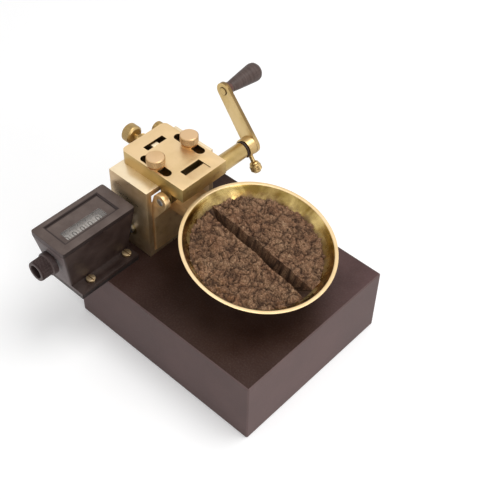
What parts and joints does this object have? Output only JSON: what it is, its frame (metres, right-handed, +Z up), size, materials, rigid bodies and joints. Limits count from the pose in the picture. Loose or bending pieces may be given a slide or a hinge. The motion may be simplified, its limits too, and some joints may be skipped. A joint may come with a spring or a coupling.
{
  "type": "liquid limit device",
  "caption": "Hand-cranked soil-testing apparatus: a cam lifts and drops a brass cup on a hard rubber block, with a sliding height adjustment and a turn counter.",
  "frame": {"origin": "centre of the base block's underside", "axes": "+X from the mechanism to the cup, +Y along the cam shaft to the crank, +Z up"},
  "size_m": [0.1667, 0.2191, 0.1225],
  "materials": {
    "hard_rubber": "satin black-brown hard rubber",
    "cast_brass": "polished brass",
    "turned_brass": "turned and knurled brass",
    "cup_brass": "spun brass, polished",
    "steel": "bright steel",
    "black_plastic": "black moulded plastic",
    "black_case": "black enamel",
    "soil": "moist brown soil paste",
    "window": "clear window",
    "wheel_plastic": "light number wheels"
  },
  "bodies": {
    "base": {"base_block": "hard_rubber", "frame_casting": "cast_brass", "frame_screws": "steel", "left_bush": "turned_brass", "bearing_sleeve": "turned_brass", "thrust_washer": "black_plastic", "adjusting_post": "turned_brass", "clamp_washers": "turned_brass", "mounting_plate": "steel", "plate_screws": "steel", "case_screws": "turned_brass", "counter_case": "black_case", "counter_bezel": "black_case", "counter_window": "window"},
    "crank": {"cam_shaft": "steel", "shaft_collar": "turned_brass", "snail_cam": "steel", "cam_grub_screw": "steel", "crank_arm": "cast_brass", "handle_spindle": "steel", "drive_gear": "turned_brass"},
    "handle": {"crank_handle": "black_plastic"},
    "set_screw": {"crank_set_screw": "turned_brass"},
    "carriage": {"carriage_plate": "cast_brass", "hinge_pin": "steel"},
    "adjuster": {"adjusting_screw": "turned_brass"},
    "lock_nut": {"adjuster_lock_nut": "turned_brass"},
    "side_screw": {"lock_screw": "turned_brass"},
    "left_clamp": {"left_clamp_screw": "turned_brass"},
    "right_clamp": {"right_clamp_screw": "turned_brass"},
    "cup_hanger": {"hanger_yoke": "cast_brass", "cam_follower": "steel", "hanger_arm": "cast_brass", "hanger_rivets": "turned_brass", "cup": "cup_brass", "soil_left_half": "soil", "soil_right_half": "soil"},
    "transfer": {"transfer_gear": "turned_brass"},
    "reset": {"wheel_shaft": "steel", "reset_knob": "black_plastic"},
    "wheel_1": {"number_wheel_1": "wheel_plastic"},
    "wheel_2": {"number_wheel_2": "wheel_plastic"},
    "wheel_3": {"number_wheel_3": "wheel_plastic"},
    "wheel_4": {"number_wheel_4": "wheel_plastic"},
    "wheel_5": {"number_wheel_5": "wheel_plastic"}
  },
  "joints": [
    {"name": "crank_turn", "type": "hinge", "parent": "base", "child": "crank", "pos_m": [-0.059, 0, 0.065], "axis": [0, 1, 0], "continuous": true},
    {"name": "handle_spin", "type": "hinge", "parent": "crank", "child": "handle", "pos_m": [-0.08483, 0.1, 0.09748], "axis": [0, 1, 0], "continuous": true},
    {"name": "set_screw_turn", "type": "hinge", "parent": "crank", "child": "set_screw", "pos_m": [-0.059, 0.08075, 0.065], "axis": [0.5563, 0, -0.831], "range_deg": [-180, 0]},
    {"name": "carriage_slide", "type": "slide", "parent": "base", "child": "carriage", "axis": [1, 0, 0], "range_m": [-0.0007, 0.0007]},
    {"name": "adjuster_turn", "type": "hinge", "parent": "carriage", "child": "adjuster", "pos_m": [-0.08, 0, 0.11], "axis": [1, 0, 0], "range_deg": [-361, 361]},
    {"name": "lock_nut_turn", "type": "hinge", "parent": "carriage", "child": "lock_nut", "pos_m": [-0.076, 0, 0.11], "axis": [1, 0, 0], "range_deg": [-90, 0]},
    {"name": "side_screw_turn", "type": "hinge", "parent": "carriage", "child": "side_screw", "pos_m": [-0.076, 0.0152, 0.11], "axis": [1, 0, 0], "range_deg": [-90, 0]},
    {"name": "left_clamp_turn", "type": "hinge", "parent": "base", "child": "left_clamp", "pos_m": [-0.0477, -0.0143, 0.118], "axis": [0, 0, 1], "range_deg": [0, 180]},
    {"name": "right_clamp_turn", "type": "hinge", "parent": "base", "child": "right_clamp", "pos_m": [-0.0477, 0.0143, 0.118], "axis": [0, 0, 1], "range_deg": [0, 180]},
    {"name": "cup_lift", "type": "hinge", "parent": "carriage", "child": "cup_hanger", "pos_m": [-0.0352, 0, 0.099], "axis": [0, -1, 0], "range_deg": [-7.1, 30]},
    {"name": "transfer_turn", "type": "hinge", "parent": "base", "child": "transfer", "pos_m": [-0.0645, -0.04, 0.0745], "axis": [0, 1, 0], "continuous": true},
    {"name": "reset_turn", "type": "hinge", "parent": "base", "child": "reset", "pos_m": [-0.0645, -0.09, 0.0745], "axis": [0, 1, 0], "continuous": true},
    {"name": "wheel_1_turn", "type": "hinge", "parent": "base", "child": "wheel_1", "pos_m": [-0.0645, -0.06, 0.0745], "axis": [0, 1, 0], "continuous": true},
    {"name": "wheel_2_turn", "type": "hinge", "parent": "base", "child": "wheel_2", "pos_m": [-0.0645, -0.06, 0.0745], "axis": [0, 1, 0], "continuous": true},
    {"name": "wheel_3_turn", "type": "hinge", "parent": "base", "child": "wheel_3", "pos_m": [-0.0645, -0.06, 0.0745], "axis": [0, 1, 0], "continuous": true},
    {"name": "wheel_4_turn", "type": "hinge", "parent": "base", "child": "wheel_4", "pos_m": [-0.0645, -0.06, 0.0745], "axis": [0, 1, 0], "continuous": true},
    {"name": "wheel_5_turn", "type": "hinge", "parent": "base", "child": "wheel_5", "pos_m": [-0.0645, -0.06, 0.0745], "axis": [0, 1, 0], "continuous": true}
  ],
  "couplings": [
    {"joint": "adjuster_turn", "follows": "carriage_slide", "rad_per_m": 8976},
    {"joint": "transfer_turn", "follows": "crank_turn", "ratio": -0.33333},
    {"joint": "wheel_1_turn", "follows": "crank_turn", "ratio": -0.1},
    {"joint": "wheel_2_turn", "follows": "crank_turn", "ratio": -0.01},
    {"joint": "wheel_3_turn", "follows": "crank_turn", "ratio": -0.001},
    {"joint": "wheel_4_turn", "follows": "crank_turn", "ratio": -0.0001},
    {"joint": "wheel_5_turn", "follows": "crank_turn", "ratio": -0.00001}
  ]
}
